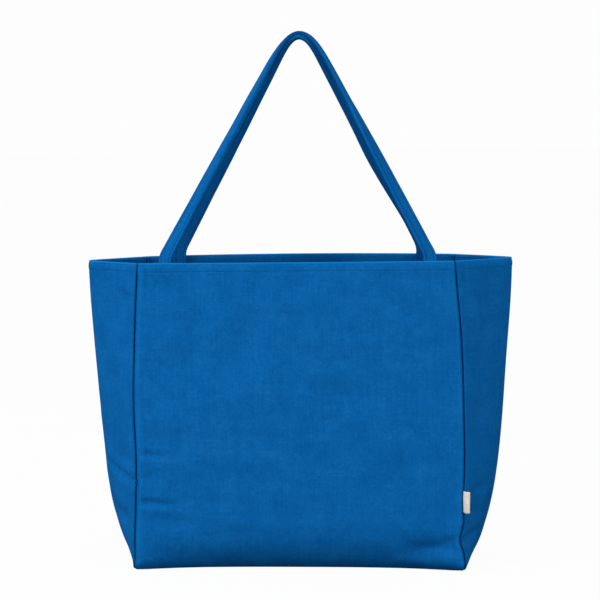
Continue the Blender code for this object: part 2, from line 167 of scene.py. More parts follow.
# One place across the strip: depth and height from the rim down the wall and round the
# corner, a wall run of given heights and then a quarter of an oval, round at the seams.
def wallProfile(u, wall):
    middle = 1 - np.abs(u) ** 2.6
    deep = bag["seamCorner"] + (bag["panelCorner"]["deep"] - bag["seamCorner"]) * middle
    high = bag["seamCorner"] + (bag["panelCorner"]["high"] - bag["seamCorner"]) * middle
    foot = half + high
    z = foot + (wallHeights - wallHeights[-1]) * (wallTop - foot) / (wallTop - wallHeights[-1])
    y = wallDepth(u, z, wall)
    turn = np.linspace(0, pi / 2, turnSteps + 1)[1:]
    yTurn = y[-1] - deep * (1 - np.cos(turn))
    zTurn = half + high * (1 - np.sin(turn))
    z = np.concatenate([z, zTurn])
    return np.concatenate([y, yTurn]), z + cornerLift(u, z - half)


# The seams' lowest corners stand off the floor a little; it fades over a short distance.
def cornerLift(u, distance):
    return bag["cornerLift"] * np.abs(u) ** 14 * np.exp(-(distance / bag["liftSpread"]) ** 2)


baseSteps = 40


def stripProfile(u):
    yFront, zFront = wallProfile(u, -1)
    yBack, zBack = wallProfile(u, 1)
    base = np.linspace(-yFront[-1], yBack[-1], baseSteps + 1)[1:-1]
    y = np.concatenate([-yFront, base, yBack[::-1]])
    zBase = half + cornerLift(u, base + yFront[-1]) + cornerLift(u, yBack[-1] - base)
    z = np.concatenate([zFront, zBase, zBack[::-1]])
    return y, z


# Sideways wander of the sewn seams: a pull towards the rim, and swells as (reach, height,
# spread), each reach * exp(-((z - height) / spread)^2).
seams = {
    -1: {"rimPull": 0.0, "swells": ((0.0022, 0.075, 0.045), (0.0032, 0.136, 0.045))},
    1: {
        "rimPull": 0.0028,
        "swells": ((-0.0020, 0.0, 0.0065), (-0.0054, 0.041, 0.014), (-0.0021, 0.084, 0.030)),
    },
}


def seamWander(side, z):
    shift = -seams[side]["rimPull"] * smoothStep(0.26, 0.37, z)
    for reach, height, spread in seams[side]["swells"]:
        shift = shift + reach * np.exp(-((z - height) / spread) ** 2)
    return shift


def seamLine(side):
    y, z = stripProfile(1.0)
    return np.stack([side * seamHalfWidth(z) + seamWander(side, z), y, z], axis=1)


# Creases and dents, each a valley along a line with soft shoulders. A row holds both ends as
# (across, up), the width, the depth inwards and the share that lifts the valley's sides. On a
# gusset, across runs from -1 at the front seam to 1 at the back, times half its width.
creases = {
    "front": [
        ((-0.1960, 0.1412), (-0.1400, 0.1375), 0.0040, 0.0046, 0.6),
        ((-0.1930, 0.1120), (-0.1600, 0.1150), 0.0060, 0.0024, 0.4),
        ((-0.1960, 0.0850), (-0.1330, 0.0800), 0.0046, 0.0055, 0.6),
        ((-0.1700, 0.0620), (-0.0900, 0.0560), 0.0100, 0.0017, 0.3),
        ((0.1960, 0.0405), (0.1660, 0.0398), 0.0040, 0.0051, 0.7),
        ((0.1745, 0.0860), (0.1735, 0.0400), 0.0034, 0.0015, 0.5),
        ((0.1850, 0.0320), (0.1050, 0.0250), 0.0100, 0.0064, 0.5),
        ((-0.1800, 0.3640), (-0.1760, 0.3440), 0.0036, 0.0020, 0.4),
        ((-0.1500, 0.2400), (0.0200, 0.2900), 0.0300, 0.0024, 0.3),
        ((0.0400, 0.2000), (0.1800, 0.2600), 0.0260, 0.0020, 0.3),
    ],
    "back": [
        ((-0.1930, 0.1100), (-0.1300, 0.1000), 0.0060, 0.0037, 0.6),
        ((0.1930, 0.1500), (0.1200, 0.1380), 0.0060, 0.0034, 0.6),
        ((0.1900, 0.0500), (0.1300, 0.0420), 0.0060, 0.0044, 0.6),
        ((-0.1000, 0.2200), (0.0900, 0.2700), 0.0320, 0.0031, 0.3),
        ((-0.1500, 0.0190), (0.1500, 0.0180), 0.0120, 0.0051, 0.5),
    ],
    "left": [
        ((-0.0790, 0.1050), (-0.0200, 0.1290), 0.0048, 0.0082, 0.7),
        ((-0.0680, 0.1300), (-0.0300, 0.1450), 0.0100, 0.0027, 0.4),
        ((-0.0600, 0.3330), (-0.0380, 0.2900), 0.0130, 0.0060, 0.5),
        ((-0.0600, 0.0620), (-0.0100, 0.0780), 0.0090, 0.0031, 0.5),
        ((0.0700, 0.1500), (0.0200, 0.1750), 0.0080, 0.0051, 0.6),
        ((0.0700, 0.0700), (0.0150, 0.0900), 0.0070, 0.0044, 0.6),
    ],
    "right": [
        ((-0.0720, 0.0900), (-0.0280, 0.1060), 0.0060, 0.0037, 0.6),
        ((-0.0700, 0.1800), (-0.0300, 0.2050), 0.0120, 0.0031, 0.4),
        ((-0.0720, 0.0380), (-0.0250, 0.0520), 0.0060, 0.0034, 0.5),
        ((0.0700, 0.1300), (0.0200, 0.1600), 0.0080, 0.0051, 0.6),
    ],
}


# Inward depth of all creases at (a, b). Distance q from the line over the width gives a
# rounded valley exp(-q^2) less a share of exp(-(q/2)^2) that lifts the sides; it fades out
# past both ends of the line, more slowly at the second one.
def creaseDepth(place, a, b):
    total = np.zeros(np.broadcast(a, b).shape)
    for (a0, b0), (a1, b1), width, depth, shoulder in creases[place]:
        length = np.hypot(a1 - a0, b1 - b0)
        da, db = (a1 - a0) / length, (b1 - b0) / length
        along = ((a - a0) * da + (b - b0) * db) / length
        q = ((b - b0) * da - (a - a0) * db) / width
        fade = smoothStep(-0.08, 0.03, along) * (1 - smoothStep(0.30, 1.1, along))
        valley = np.exp(-q * q) - shoulder * 0.5 * np.exp(-(q / 2) ** 2)
        total += depth * fade * valley
    return total


# Seam frame: unit directions from the seam into the panel, into the gusset, and inwards
# between them, each square to the seam's own direction.
def seamFrame(side, gussetInner):
    line = seamLine(side)
    tangent = unit(np.gradient(line, axis=0))
    panel = np.zeros_like(line)
    panel[:, 0] = -side
    panel = unit(panel - np.sum(panel * tangent, axis=1, keepdims=True) * tangent)
    gusset = gussetInner - line
    gusset = unit(gusset - np.sum(gusset * tangent, axis=1, keepdims=True) * tangent)
    return line, panel, gusset, unit(panel + gusset)


# Rows of one gusset from the base seam up, each from the front seam to the back one.
def gussetField(side, columns):
    y, z = wallProfile(1.0, -1)
    y, z = y[::-1, None], z[::-1, None]
    t = np.linspace(-1, 1, columns)[None, :]
    x = seamHalfWidth(z) + seamWander(side, z) * side * t * t + foldReach(side, z) * creaseProfile(t, z)
    lift = smoothStep(0.0, 0.030, z)
    edge = (1 - t ** 18) * smoothStep(0.0, 0.34, np.abs(t))
    hemFade = 1 - smoothStep(wallTop - 0.030, wallTop - 0.006, z)
    across = t * gussetHalf(z)
    up = z * np.ones_like(t)
    dent = creaseDepth("left" if side < 0 else "right", across, up)
    dent = dent + 0.0006 * softField(across, up, 0.05, 11 + side)
    x = x - dent * edge * lift * hemFade
    return np.stack([side * x, y * t, up], axis=2)


# Line of points next to the seam on the gusset, in the strip's own order.
def gussetInner(field):
    return np.concatenate([field[::-1, 1], field[1, 1:-1], field[:, -2]])


# A sheet's edge at a seam: straight in, round a small fold, and inwards as the allowance.
def seamEdge(line, sheet, inward, gap, length):
    angle = np.arccos(np.sum(sheet * inward, axis=1))[:, None]
    corner = line + sheet * (gap / 2) / np.sin(angle)
    ends = smoothStep(wallTop - 0.016, wallTop, line[:, 2:]) + 1 - smoothStep(half, 0.022, line[:, 2:])
    roundness = bag["seamRound"] * (1 - 0.7 * ends)
    reach = roundness / np.tan(angle / 2)
    middle = corner + unit(sheet + inward) * roundness / np.sin(angle / 2)
    start = corner + sheet * reach - middle
    end = corner + inward * reach - middle
    sweep = pi - angle
    columns = []
    for f in np.linspace(0, 1, 6):
        spoke = np.sin((1 - f) * sweep) * start + np.sin(f * sweep) * end
        columns.append(middle + spoke / np.sin(sweep))
    square = unit(sheet - np.sum(sheet * inward, axis=1, keepdims=True) * inward)
    for f in (0.35, 1.0):
        columns.append(corner + inward * (reach + length[:, None] * f) - square * bag["seamGap"] * 0.48)
    return np.stack(columns, axis=1)


# Painted shade on the cloth turned into a seam, darker further into the fold.
def seamShade(edge):
    return np.broadcast_to(-0.6 * np.clip(np.arange(edge.shape[1]) / 4, 0, 1) ** 1.5, edge.shape[:2])


# The turned-in part is short inside the hem, and short enough to go round the base corners.
def allowanceLength(line):
    shortest = 0.003
    nearRim = np.clip((bag["height"] - line[:, 2]) / (2 * bag["hemDepth"]), 0, 1)
    length = shortest + (bag["allowance"] - shortest) * nearRim
    index = np.arange(len(line))
    fromRim = np.minimum(index, len(line) - 1 - index)
    walls = len(wallHeights)
    inTurn = (fromRim >= walls - 3) & (fromRim <= walls + turnSteps + 2)
    return np.where(inTurn, np.minimum(length, 0.45 * bag["seamCorner"]), length)


def gridFaces(rows, columns):
    a = (np.arange(rows - 1)[:, None] * columns + np.arange(columns - 1)[None, :]).ravel()
    return np.stack([a, a + 1, a + columns + 1, a + columns], axis=1)


# Adds an object to the scene.
def addPiece(name, data):
    made = bpy.data.objects.new(name, data)
    bpy.context.scene.collection.objects.link(made)
    return made


# Joins grids of points into one mesh with a UV map in metres; shared borders are merged.
# The per-point attribute made here pales the crown of the rim, partly rubbed wear and partly
# a painted highlight, and adds the share a grid brings. Below zero it is painted shade.
def clothMesh(name, grids, material, flip=False):
    points, faces, uvs, wearAndPaintedLightRows, start = [], [], [], [], 0
    for grid, uv, *extra in grids:
        rows, columns = grid.shape[:2]
        crown = smoothStep(wallTop - 0.0006, wallTop + 0.0006, grid[..., 2])
        wearAndPaintedLightRows.append((crown + (extra[0] if extra else 0)).ravel())
        points.append(settle(grid).reshape(-1, 3))
        faces.append(gridFaces(rows, columns) + start)
        uvs.append(uv.reshape(-1, 2))
        start += rows * columns
    points, faces, uvs = np.concatenate(points), np.concatenate(faces), np.concatenate(uvs)
    if flip:
        faces = faces[:, ::-1]
    mesh = bpy.data.meshes.new(name)
    mesh.from_pydata(points.tolist(), [], faces.tolist())
    layer = mesh.uv_layers.new(name="cloth")
    layer.data.foreach_set("uv", uvs[faces.ravel()].ravel())
    wearAndPaintedLight = mesh.attributes.new("wearAndPaintedLight", "FLOAT", "POINT")
    wearAndPaintedLight.data.foreach_set("value", np.concatenate(wearAndPaintedLightRows))
    work = bmesh.new()
    work.from_mesh(mesh)
    bmesh.ops.remove_doubles(work, verts=work.verts, dist=2e-5)
    bmesh.ops.recalc_face_normals(work, faces=work.faces)
    work.to_mesh(mesh)
    work.free()
    mesh.shade_smooth()
    mesh.materials.append(material)
    return addPiece(name, mesh)


def thicken(piece, thickness, even=True):
    wall = piece.modifiers.new("cloth", "SOLIDIFY")
    wall.thickness = thickness
    wall.offset = 0.0
    wall.use_even_offset = even
    return piece


# Hem: a roll over the rim and a layer down the inside, as (inwards, upwards) steps.
def hemSteps():
    turn = np.linspace(0, pi, 9)
    inwards = bag["hemRoll"] * (1 - np.cos(turn))
    upwards = bag["hemRoll"] * np.sin(turn)
    down = -np.linspace(0, bag["hemDepth"] - 0.0014, 13)[1:]
    return np.concatenate([inwards, np.full(len(down), 2 * bag["hemRoll"])]), np.concatenate([upwards, down])


# Painted shade on the turned-in layer of the hem.
def insideShade(across):
    return -0.20 * smoothStep(1.0, 1.9, across / bag["hemRoll"])


# Shallow groove where a stitch row pulls the cloth in, at two distances below the rim.
stitchRows = {
    "upper": 0.0024, "lower": 0.0112, "groove": 0.00072,
    "grooveWidth": 0.0011, "rimLean": 0.0007, "hemStep": 0.0005,
}


def stitchGroove(below):
    rows = np.exp(-((below - stitchRows["upper"]) / stitchRows["grooveWidth"]) ** 2)
    rows = rows + np.exp(-((below - stitchRows["lower"]) / stitchRows["grooveWidth"]) ** 2)
    lean = stitchRows["rimLean"] * np.clip(1 - below / 0.011, 0, 1) ** 2
    step = stitchRows["hemStep"] * smoothStep(0.0138, 0.0112, below)
    return stitchRows["groove"] * rows + lean - step


def arcLength(points, axis):
    step = np.linalg.norm(np.diff(points, axis=axis), axis=-1)
    zero = np.zeros_like(np.take(step, [0], axis=axis))
    return np.cumsum(np.concatenate([zero, step], axis=axis), axis=axis)


# Front, base and back as one strip: its columns and a band of painted shade near the floor.
panelColumns = 112
lowBand = {"shade": 0.18, "from": 0.050, "full": 0.022, "floor": 0.002, "floorFull": 0.010}


# Wall relief: creases, a soft unevenness and the pull of the hem's stitches, inwards.
def panelRelief(x, z, u, wall):
    dent = creaseDepth("front" if wall < 0 else "back", x, z)
    dent = dent + 0.0005 * softField(x, z, 0.06, 5 + wall)
    dent = dent + 0.0002 * softField(x, z, 0.02, 8 + wall)
    below = bag["height"] - z
    ripple = np.sin(x * 2 * pi / 0.0098 + 2 * softField(x, z, 0.05, 21))
    pucker = 0.00016 * ripple * smoothStep(0.016, 0.012, below)
    dent = dent * smoothStep(0.0, 0.020, below - 0.004) + pucker
    fromSeam = (1 - np.abs(u)) * bag["mouthWidth"] / 2
    ridge = bag["ridge"] * np.exp(-((fromSeam - bag["ridgeAt"]) / 0.0026) ** 2)
    return (dent - ridge) * (1 - np.abs(u) ** 40) * smoothStep(0.0, 0.012, z) + stitchGroove(below)


def panelGrids():
    edges = []
    for side in (-1, 1):
        field = gussetField(side, baseSteps + 1)
        line, panel, _, inward = seamFrame(side, gussetInner(field))
        edges.append(seamEdge(line, panel, inward, bag["canvas"] + bag["seamGap"], allowanceLength(line)))
    left, right = edges
    bend = np.linspace(-1, 1, panelColumns + 1)
    u = np.sign(bend) * (1 - (1 - np.abs(bend)) ** 1.15)
    strip = []
    for value in u:
        y, z = stripProfile(value)
        part = (value + 1) / 2
        x = left[:, 0, 0] * (1 - part) + right[:, 0, 0] * part
        strip.append(np.stack([x, y, z], axis=1))
    strip = np.stack(strip, axis=1)
    strip[:, 0], strip[:, -1] = left[:, 0], right[:, 0]
    rows = len(strip)
    walls = len(wallHeights) + turnSteps // 2
    across = np.broadcast_to(u[None, :], strip.shape[:2])
    inner = slice(1, -1)
    front = panelRelief(strip[:walls, inner, 0], strip[:walls, inner, 2], across[:walls, inner], -1)
    back = panelRelief(strip[-walls:, inner, 0], strip[-walls:, inner, 2], across[-walls:, inner], 1)
    strip[:walls, inner, 1] += front
    strip[-walls:, inner, 1] -= back
    v = arcLength(strip, 0)
    # A pale line beside each seam, partly rubbed wear and partly a painted highlight on its ridge.
    fromSeam = (1 - np.abs(across)) * bag["mouthWidth"] / 2
    ridgeWearAndHighlight = 0.30 * np.exp(-((fromSeam - 0.002) / 0.0022) ** 2)
    z = strip[..., 2]
    # Painted shade low on the walls, fading out at the floor and towards the seams.
    lowShade = lowBand["shade"] * (1 - smoothStep(lowBand["full"], lowBand["from"], z))
    lowShade = lowShade * smoothStep(lowBand["floor"], lowBand["floorFull"], z) * (1 - np.abs(across) ** 6)
    grids = [(strip, np.stack([strip[..., 0], v], axis=2), ridgeWearAndHighlight - lowShade)]
    for edge, side in ((left, -1), (right, 1)):
        run = arcLength(edge, 1)
        beside = v[:, :1] if side < 0 else v[:, -1:]
        uv = np.stack([edge[:, :1, 0] + side * run, beside + 0 * run], axis=2)
        wearAndPaintedLight = seamShade(edge)
        if side < 0:
            edge, uv, wearAndPaintedLight = edge[:, ::-1], uv[:, ::-1], wearAndPaintedLight[:, ::-1]
        grids.append((edge, uv, wearAndPaintedLight))
    across, up = hemSteps()
    for row, wall in ((0, -1), (rows - 1, 1)):
        rim = strip[row]
        z = wallTop + up[:, None]
        spread = 1 + bag["hemShift"] / bag["mouthWidth"] * 2 * np.minimum(1, across[:, None] / bag["hemRoll"])
        x = rim[None, :, 0] * spread
        lean = wallDepth(u[None, :], np.minimum(z, wallTop), wall) - wallDepth(u[None, :], wallTop, wall)
        pulled = 0.6 * stitchGroove(bag["height"] - z) * (across[:, None] > bag["hemRoll"])
        y = rim[None, :, 1] + wall * (lean - across[:, None] + pulled)
        hem = np.stack([x, y, z * np.ones_like(x)], axis=2)
        hem[0] = rim
        run = arcLength(hem, 0)
        base = v[row][None, :]
        uv = np.stack([x, base - run if wall < 0 else base + run], axis=2)
        wearAndPaintedLight = insideShade(across)[:, None] + 0 * x
        grids.append((hem, uv, wearAndPaintedLight) if wall > 0 else (hem[::-1], uv[::-1], wearAndPaintedLight[::-1]))
    return strip, grids


# A gusset as grids: its face, its turned-in edges and its hem.
def gussetGrids(side):
    field = gussetField(side, baseSteps + 1)
    line, _, gusset, inward = seamFrame(side, gussetInner(field))
    edge = seamEdge(line, gusset, inward, bag["canvas"] + bag["seamGap"], allowanceLength(line))
    count = len(wallHeights) + turnSteps
    ring = edge[:, 0]
    field = field.copy()
    below = bag["height"] - field[..., 2]
    field -= gussetOutward(field, side) * stitchGroove(below)[..., None]
    field[:, 0] = ring[:count][::-1]
    field[:, -1] = ring[-count:]
    field[0, 1:-1] = ring[count:-count]
    run = arcLength(field, 1)
    v = field[..., 2]
    grids = [(field, np.stack([run - run[:, -1:] / 2, v], axis=2))]
    edgeRun = arcLength(edge, 1)
    along = arcLength(edge[:, :1], 0)
    grids.append((edge, np.stack([edgeRun, along + 0 * edgeRun], axis=2), seamShade(edge)))
    across, up = hemSteps()
    rim = field[-1]
    out = gussetOutward(field, side)[-1]
    z = wallTop + up[:, None]
    t = np.linspace(-1, 1, rim.shape[0])[None, :]
    low = np.minimum(z, wallTop)
    leanOut = seamHalfWidth(low) + foldReach(side, low) * creaseProfile(t, low)
    leanOut = leanOut - seamHalfWidth(wallTop) - foldReach(side, wallTop) * creaseProfile(t, wallTop)
    lean = np.stack([side * leanOut, (seamDepth(low) - seamDepth(wallTop)) * t], axis=2)
    tangent = unit(np.gradient(rim, axis=0))
    slide = np.zeros(len(rim))
    slide[0] = 1
    slide[-1] = -1
    slide = (tangent[:, :2] * slide[:, None])[None]
    hem = np.zeros((len(across), len(rim), 3))
    hem[..., :2] = rim[None, :, :2] + lean - out[None, :, :2] * across[:, None, None]
    hem[..., :2] += slide * -bag["hemShift"] * np.minimum(1, across[:, None, None] / bag["hemRoll"])
    hem[..., 2] = z
    hem[0] = rim
    hemRun = arcLength(hem, 0)
    uv = np.stack([np.broadcast_to(run[-1] - run[-1, -1] / 2, hemRun.shape), v[-1] + hemRun], axis=2)
    grids.append((hem, uv, insideShade(across)[:, None] + 0 * hemRun))
    return field, grids


# Level direction out of the bag at each gusset point, square to its row.
def gussetOutward(field, side):
    along = np.gradient(field, axis=1)
    return unit(np.stack([side * along[..., 1], -side * along[..., 0], 0 * along[..., 0]], axis=2))


# Stitches: short thread dashes, each a small tapered arch of five rings.
thread = {
    "length": 0.0023, "pitch": 0.0034, "radius": 0.00030,
    "rise": 0.00030, "sink": 0.00012, "rings": 5, "sides": 6,
}


# Dashes along a path: ring centres run along the path and rise as an arch over the cloth,
# and each ring is a hexagon about the path's own direction.
def stitchGeometry(path, normal, start=0.5):
    total = arcLength(path, 0)
    begins = np.arange(thread["pitch"] * start, total[-1] - thread["length"], thread["pitch"])
    f = np.linspace(0, 1, thread["rings"])
    where = begins[:, None] + f[None, :] * thread["length"]
    centre = np.stack([np.interp(where, total, path[:, k]) for k in range(3)], axis=2)
    up = unit(np.stack([np.interp(where, total, normal[:, k]) for k in range(3)], axis=2))
    along = unit(np.gradient(centre, axis=1))
    side = unit(np.cross(along, up))
    arch = np.sin(pi * f)[None, :, None]
    centre = centre + up * (thread["rise"] * arch - thread["sink"])
    radius = thread["radius"] * (0.45 + 0.55 * arch ** 0.5)
    turn = np.linspace(0, 2 * pi, thread["sides"] + 1)[None, None, :-1, None]
    spokes = np.cos(turn) * side[:, :, None] + np.sin(turn) * up[:, :, None]
    return centre[:, :, None] + radius[..., None] * spokes


def stitchMesh(name, rows, material):
    rings = np.concatenate(rows)
    sides = thread["sides"]
    each = thread["rings"] * sides
    one = []
    for r in range(0, each - sides, sides):
        for c in range(sides):
            n = (c + 1) % sides
            one.append([r + c, r + n, r + sides + n, r + sides + c])
    starts = np.arange(len(rings)) * each
    quads = (np.array(one)[None] + starts[:, None, None]).reshape(-1, 4).tolist()
    caps = (starts[:, None] + np.arange(sides)[::-1]).tolist()
    caps += (starts[:, None] + each - sides + np.arange(sides)).tolist()
    mesh = bpy.data.meshes.new(name)
    mesh.from_pydata(rings.reshape(-1, 3).tolist(), [], quads + caps)
    work = bmesh.new()
    work.from_mesh(mesh)
    bmesh.ops.recalc_face_normals(work, faces=work.faces)
    work.to_mesh(mesh)
    work.free()
    mesh.shade_smooth()
    mesh.materials.append(material)
    piece = addPiece(name, mesh)
    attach(piece, "root")
    return piece


# Shader groups shared by the cloth finishes.
def newGroup(name, inputs, outputs):
    group = bpy.data.node_groups.new(name, "ShaderNodeTree")
    for label, kind, value in inputs:
        socket = group.interface.new_socket(label, in_out="INPUT", socket_type=kind)
        if value is not None:
            socket.default_value = value
    for label, kind in outputs:
        group.interface.new_socket(label, in_out="OUTPUT", socket_type=kind)
    return group, group.nodes.new("NodeGroupInput"), group.nodes.new("NodeGroupOutput")


def mathNode(tree, operation, a, b=None, clamp=False):
    node = tree.nodes.new("ShaderNodeMath")
    node.operation = operation
    node.use_clamp = clamp
    for socket, value in zip(node.inputs, (a, b)):
        if value is None:
            continue
        if isinstance(value, (int, float)):
            socket.default_value = value
        else:
            tree.links.new(value, socket)
    return node.outputs[0]


def times(tree, a, b, clamp=False):
    return mathNode(tree, "MULTIPLY", a, b, clamp)


def plus(tree, a, b, clamp=False):
    return mathNode(tree, "ADD", a, b, clamp)


def noiseNode(tree, vector, scale, detail, roughness=0.5):
    node = tree.nodes.new("ShaderNodeTexNoise")
    node.inputs["Scale"].default_value = scale
    node.inputs["Detail"].default_value = detail
    node.inputs["Roughness"].default_value = roughness
    tree.links.new(vector, node.inputs["Vector"])
    return node.outputs["Fac"]


# Plain weave: yarns over and under each other as a product of two sine waves, with yarns
# of uneven thickness from noise drawn out along the warp and along the weft.
def weaveGroup():
    group, inner, outer = newGroup(
        "canvasWeave",
        [
            ("Vector", "NodeSocketVector", None),
            ("Yarns per metre", "NodeSocketFloat", 1150.0),
            ("Unevenness", "NodeSocketFloat", 0.5),
        ],
        [("Height", "NodeSocketFloat"), ("Yarn tone", "NodeSocketFloat")],
    )
    vector, yarns, uneven = inner.outputs[:3]
    split = group.nodes.new("ShaderNodeSeparateXYZ")
    group.links.new(vector, split.inputs[0])
    wander = noiseNode(group, vector, 160.0, 2.0)
    waves = []
    for axis in range(2):
        angle = times(group, times(group, split.outputs[axis], yarns), pi)
        angle = plus(group, angle, times(group, wander, 2.2))
        waves.append(mathNode(group, "SINE", angle))
    weave = times(group, waves[0], waves[1])
    streaks = []
    for stretch in ((520.0, 16.0, 1.0), (14.0, 520.0, 1.0)):
        mapping = group.nodes.new("ShaderNodeMapping")
        mapping.inputs["Scale"].default_value = stretch
        group.links.new(vector, mapping.inputs["Vector"])
        streaks.append(noiseNode(group, mapping.outputs[0], 1.0, 3.0, 0.6))
    warp = times(group, streaks[0], 1.2)
    weft = times(group, streaks[1], 0.8)
    streak = times(group, plus(group, warp, weft), 0.5)
    crossings = times(group, weave, 0.22)
    height = plus(group, crossings, times(group, streak, uneven))
    group.links.new(height, outer.inputs[0])
    group.links.new(streak, outer.inputs[1])
    return group


# Uneven dye: broad clouds, smaller blotches, flecks and a fine speckle, centred on one half.
def dyeGroup():
    group, inner, outer = newGroup(
        "unevenDye",
        [("Vector", "NodeSocketVector", None), ("Clouds per metre", "NodeSocketFloat", 34.0)],
        [("Tone", "NodeSocketFloat")],
    )
    vector, size = inner.outputs[:2]
    clouds = noiseNode(group, vector, 34.0, 3.0, 0.55)
    group.links.new(size, clouds.node.inputs["Scale"])
    blotches = noiseNode(group, vector, 95.0, 3.0, 0.6)
    flecks = noiseNode(group, vector, 260.0, 2.0, 0.6)
    speckle = noiseNode(group, vector, 560.0, 2.0, 0.6)
    total = 0.0
    for layer, weight in ((clouds, 0.38), (blotches, 0.30), (flecks, 0.34), (speckle, 0.62)):
        part = times(group, mathNode(group, "SUBTRACT", layer, 0.5), weight)
        total = plus(group, total, part)
    group.links.new(plus(group, total, 0.5), outer.inputs[0])
    return group


canvasWeave = weaveGroup()
unevenDye = dyeGroup()

# Colours are linear. The worn colour is rubbed wear and partly a painted highlight; the deep
# share is how much of the shade colour the darkest painted shade keeps.
canvasFinish = {
    "colour": (0.0022, 0.1090, 0.352),
    "wornAndHighlight": (0.0040, 0.1900, 0.540),
    "rough": 0.94,
    "yarns": 1150.0,
    "bump": 0.00022,
    "sheen": 0.012,
}
finishes = {
    "bagCanvas": {**canvasFinish, "shade": (0.0009, 0.0880, 0.300), "light": (0.0046, 0.1330, 0.404)},
    "strapCanvas": {**canvasFinish, "shade": (0.0009, 0.0890, 0.304), "light": (0.0046, 0.1320, 0.400)},
    "blueThread": {
        "colour": (0.0100, 0.1600, 0.470), "shade": (0.0060, 0.1350, 0.410),
        "light": (0.0160, 0.1950, 0.540), "wornAndHighlight": (0.0160, 0.1950, 0.540),
        "rough": 0.75, "yarns": 3600.0, "bump": 0.00004, "sheen": 0.12,
    },
    "deepThread": {
        "colour": (0.0020, 0.0900, 0.300), "shade": (0.0012, 0.0700, 0.250),
        "light": (0.0030, 0.1200, 0.360), "wornAndHighlight": (0.0030, 0.1200, 0.360),
        "rough": 0.80, "yarns": 3600.0, "bump": 0.00004, "sheen": 0.05,
    },
    "labelRibbon": {
        "colour": (0.700, 0.655, 0.590), "shade": (0.600, 0.550, 0.480),
        "light": (0.800, 0.770, 0.720), "wornAndHighlight": (0.880, 0.870, 0.850),
        "rough": 0.80, "yarns": 2600.0, "bump": 0.00006, "sheen": 0.10,
    },
}
paintedShadeShare = (0.2, 0.26, 0.34)


def clothMaterial(name, useUv=True):
    f = finishes[name]
    material = bpy.data.materials.new(name)
    material.use_nodes = True
    tree = material.node_tree
    shader = tree.nodes["Principled BSDF"]
    coordinates = tree.nodes.new("ShaderNodeTexCoord")
    vector = coordinates.outputs["UV" if useUv else "Object"]
    weave = tree.nodes.new("ShaderNodeGroup")
    weave.node_tree = canvasWeave
    weave.inputs["Yarns per metre"].default_value = f["yarns"]
    tree.links.new(vector, weave.inputs["Vector"])
    dye = tree.nodes.new("ShaderNodeGroup")
    dye.node_tree = unevenDye
    tree.links.new(coordinates.outputs["Object"], dye.inputs["Vector"])
    dyed = times(tree, dye.outputs[0], 0.62)
    tone = plus(tree, dyed, times(tree, weave.outputs[1], 0.38))
    ramp = tree.nodes.new("ShaderNodeValToRGB")
    ramp.color_ramp.elements[0].position = 0.36
    ramp.color_ramp.elements[1].position = 0.64
    ramp.color_ramp.elements.new(0.50)
    stops = sorted(ramp.color_ramp.elements, key=lambda e: e.position)
    for element, key in zip(stops, ("shade", "colour", "light")):
        element.color = (*f[key], 1.0)
    tree.links.new(tone, ramp.inputs[0])
    # Per-point attribute: above zero it mixes towards the worn colour, rubbed wear and partly a painted
    # highlight; below zero it mixes towards a dark copy of the shade colour, as painted shade.
    wearAndPaintedLight = tree.nodes.new("ShaderNodeAttribute")
    wearAndPaintedLight.attribute_name = "wearAndPaintedLight"
    paleByTone = plus(tree, times(tree, tone, 1.2), 0.2)
    fade = times(tree, wearAndPaintedLight.outputs["Fac"], paleByTone, clamp=True)
    wornAndHighlight = tree.nodes.new("ShaderNodeMix")
    wornAndHighlight.data_type = "RGBA"
    wornAndHighlight.inputs["B"].default_value = (*f["wornAndHighlight"], 1.0)
    tree.links.new(fade, wornAndHighlight.inputs["Factor"])
    tree.links.new(ramp.outputs[0], wornAndHighlight.inputs["A"])
    deep = tree.nodes.new("ShaderNodeMix")
    deep.data_type = "RGBA"
    deep.inputs["B"].default_value = (*[value * part for value, part in zip(f["shade"], paintedShadeShare)], 1.0)
    tree.links.new(times(tree, wearAndPaintedLight.outputs["Fac"], -1.0, clamp=True), deep.inputs["Factor"])
    tree.links.new(wornAndHighlight.outputs["Result"], deep.inputs["A"])
    tree.links.new(deep.outputs["Result"], shader.inputs["Base Color"])
    rough = times(tree, weave.outputs[1], 0.10)
    rough = plus(tree, rough, f["rough"] - 0.05, clamp=True)
    tree.links.new(rough, shader.inputs["Roughness"])
    bump = tree.nodes.new("ShaderNodeBump")
    bump.inputs["Strength"].default_value = 0.8
    bump.inputs["Distance"].default_value = f["bump"]
    tree.links.new(weave.outputs[0], bump.inputs["Height"])
    tree.links.new(bump.outputs[0], shader.inputs["Normal"])
    shader.inputs["Sheen Weight"].default_value = f["sheen"]
    shader.inputs["Sheen Roughness"].default_value = 0.6
    shader.inputs["Sheen Tint"].default_value = (*f["light"], 1.0)
    shader.inputs["Specular IOR Level"].default_value = 0.03
    material.diffuse_color = (*f["colour"], 1.0)
    return material


bagCanvas = clothMaterial("bagCanvas")
strapCanvas = clothMaterial("strapCanvas")
blueThread = clothMaterial("blueThread", useUv=False)
deepThread = clothMaterial("deepThread", useUv=False)
labelRibbon = clothMaterial("labelRibbon")
print("materials made")

# The bag body.
strip, grids = panelGrids()
bagPanel = thicken(clothMesh("bagPanel", grids, bagCanvas), bag["canvas"])
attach(bagPanel, "root")
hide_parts("main_panel")
gussets = {}
for side, label in ((-1, "left"), (1, "right")):
    field, grids = gussetGrids(side)
    piece = thicken(clothMesh(label + "Gusset", grids, bagCanvas), bag["canvas"], even=False)
    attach(piece, "root")
    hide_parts(label + "_gusset")
    gussets[side] = (field, piece)
print("bag body made")


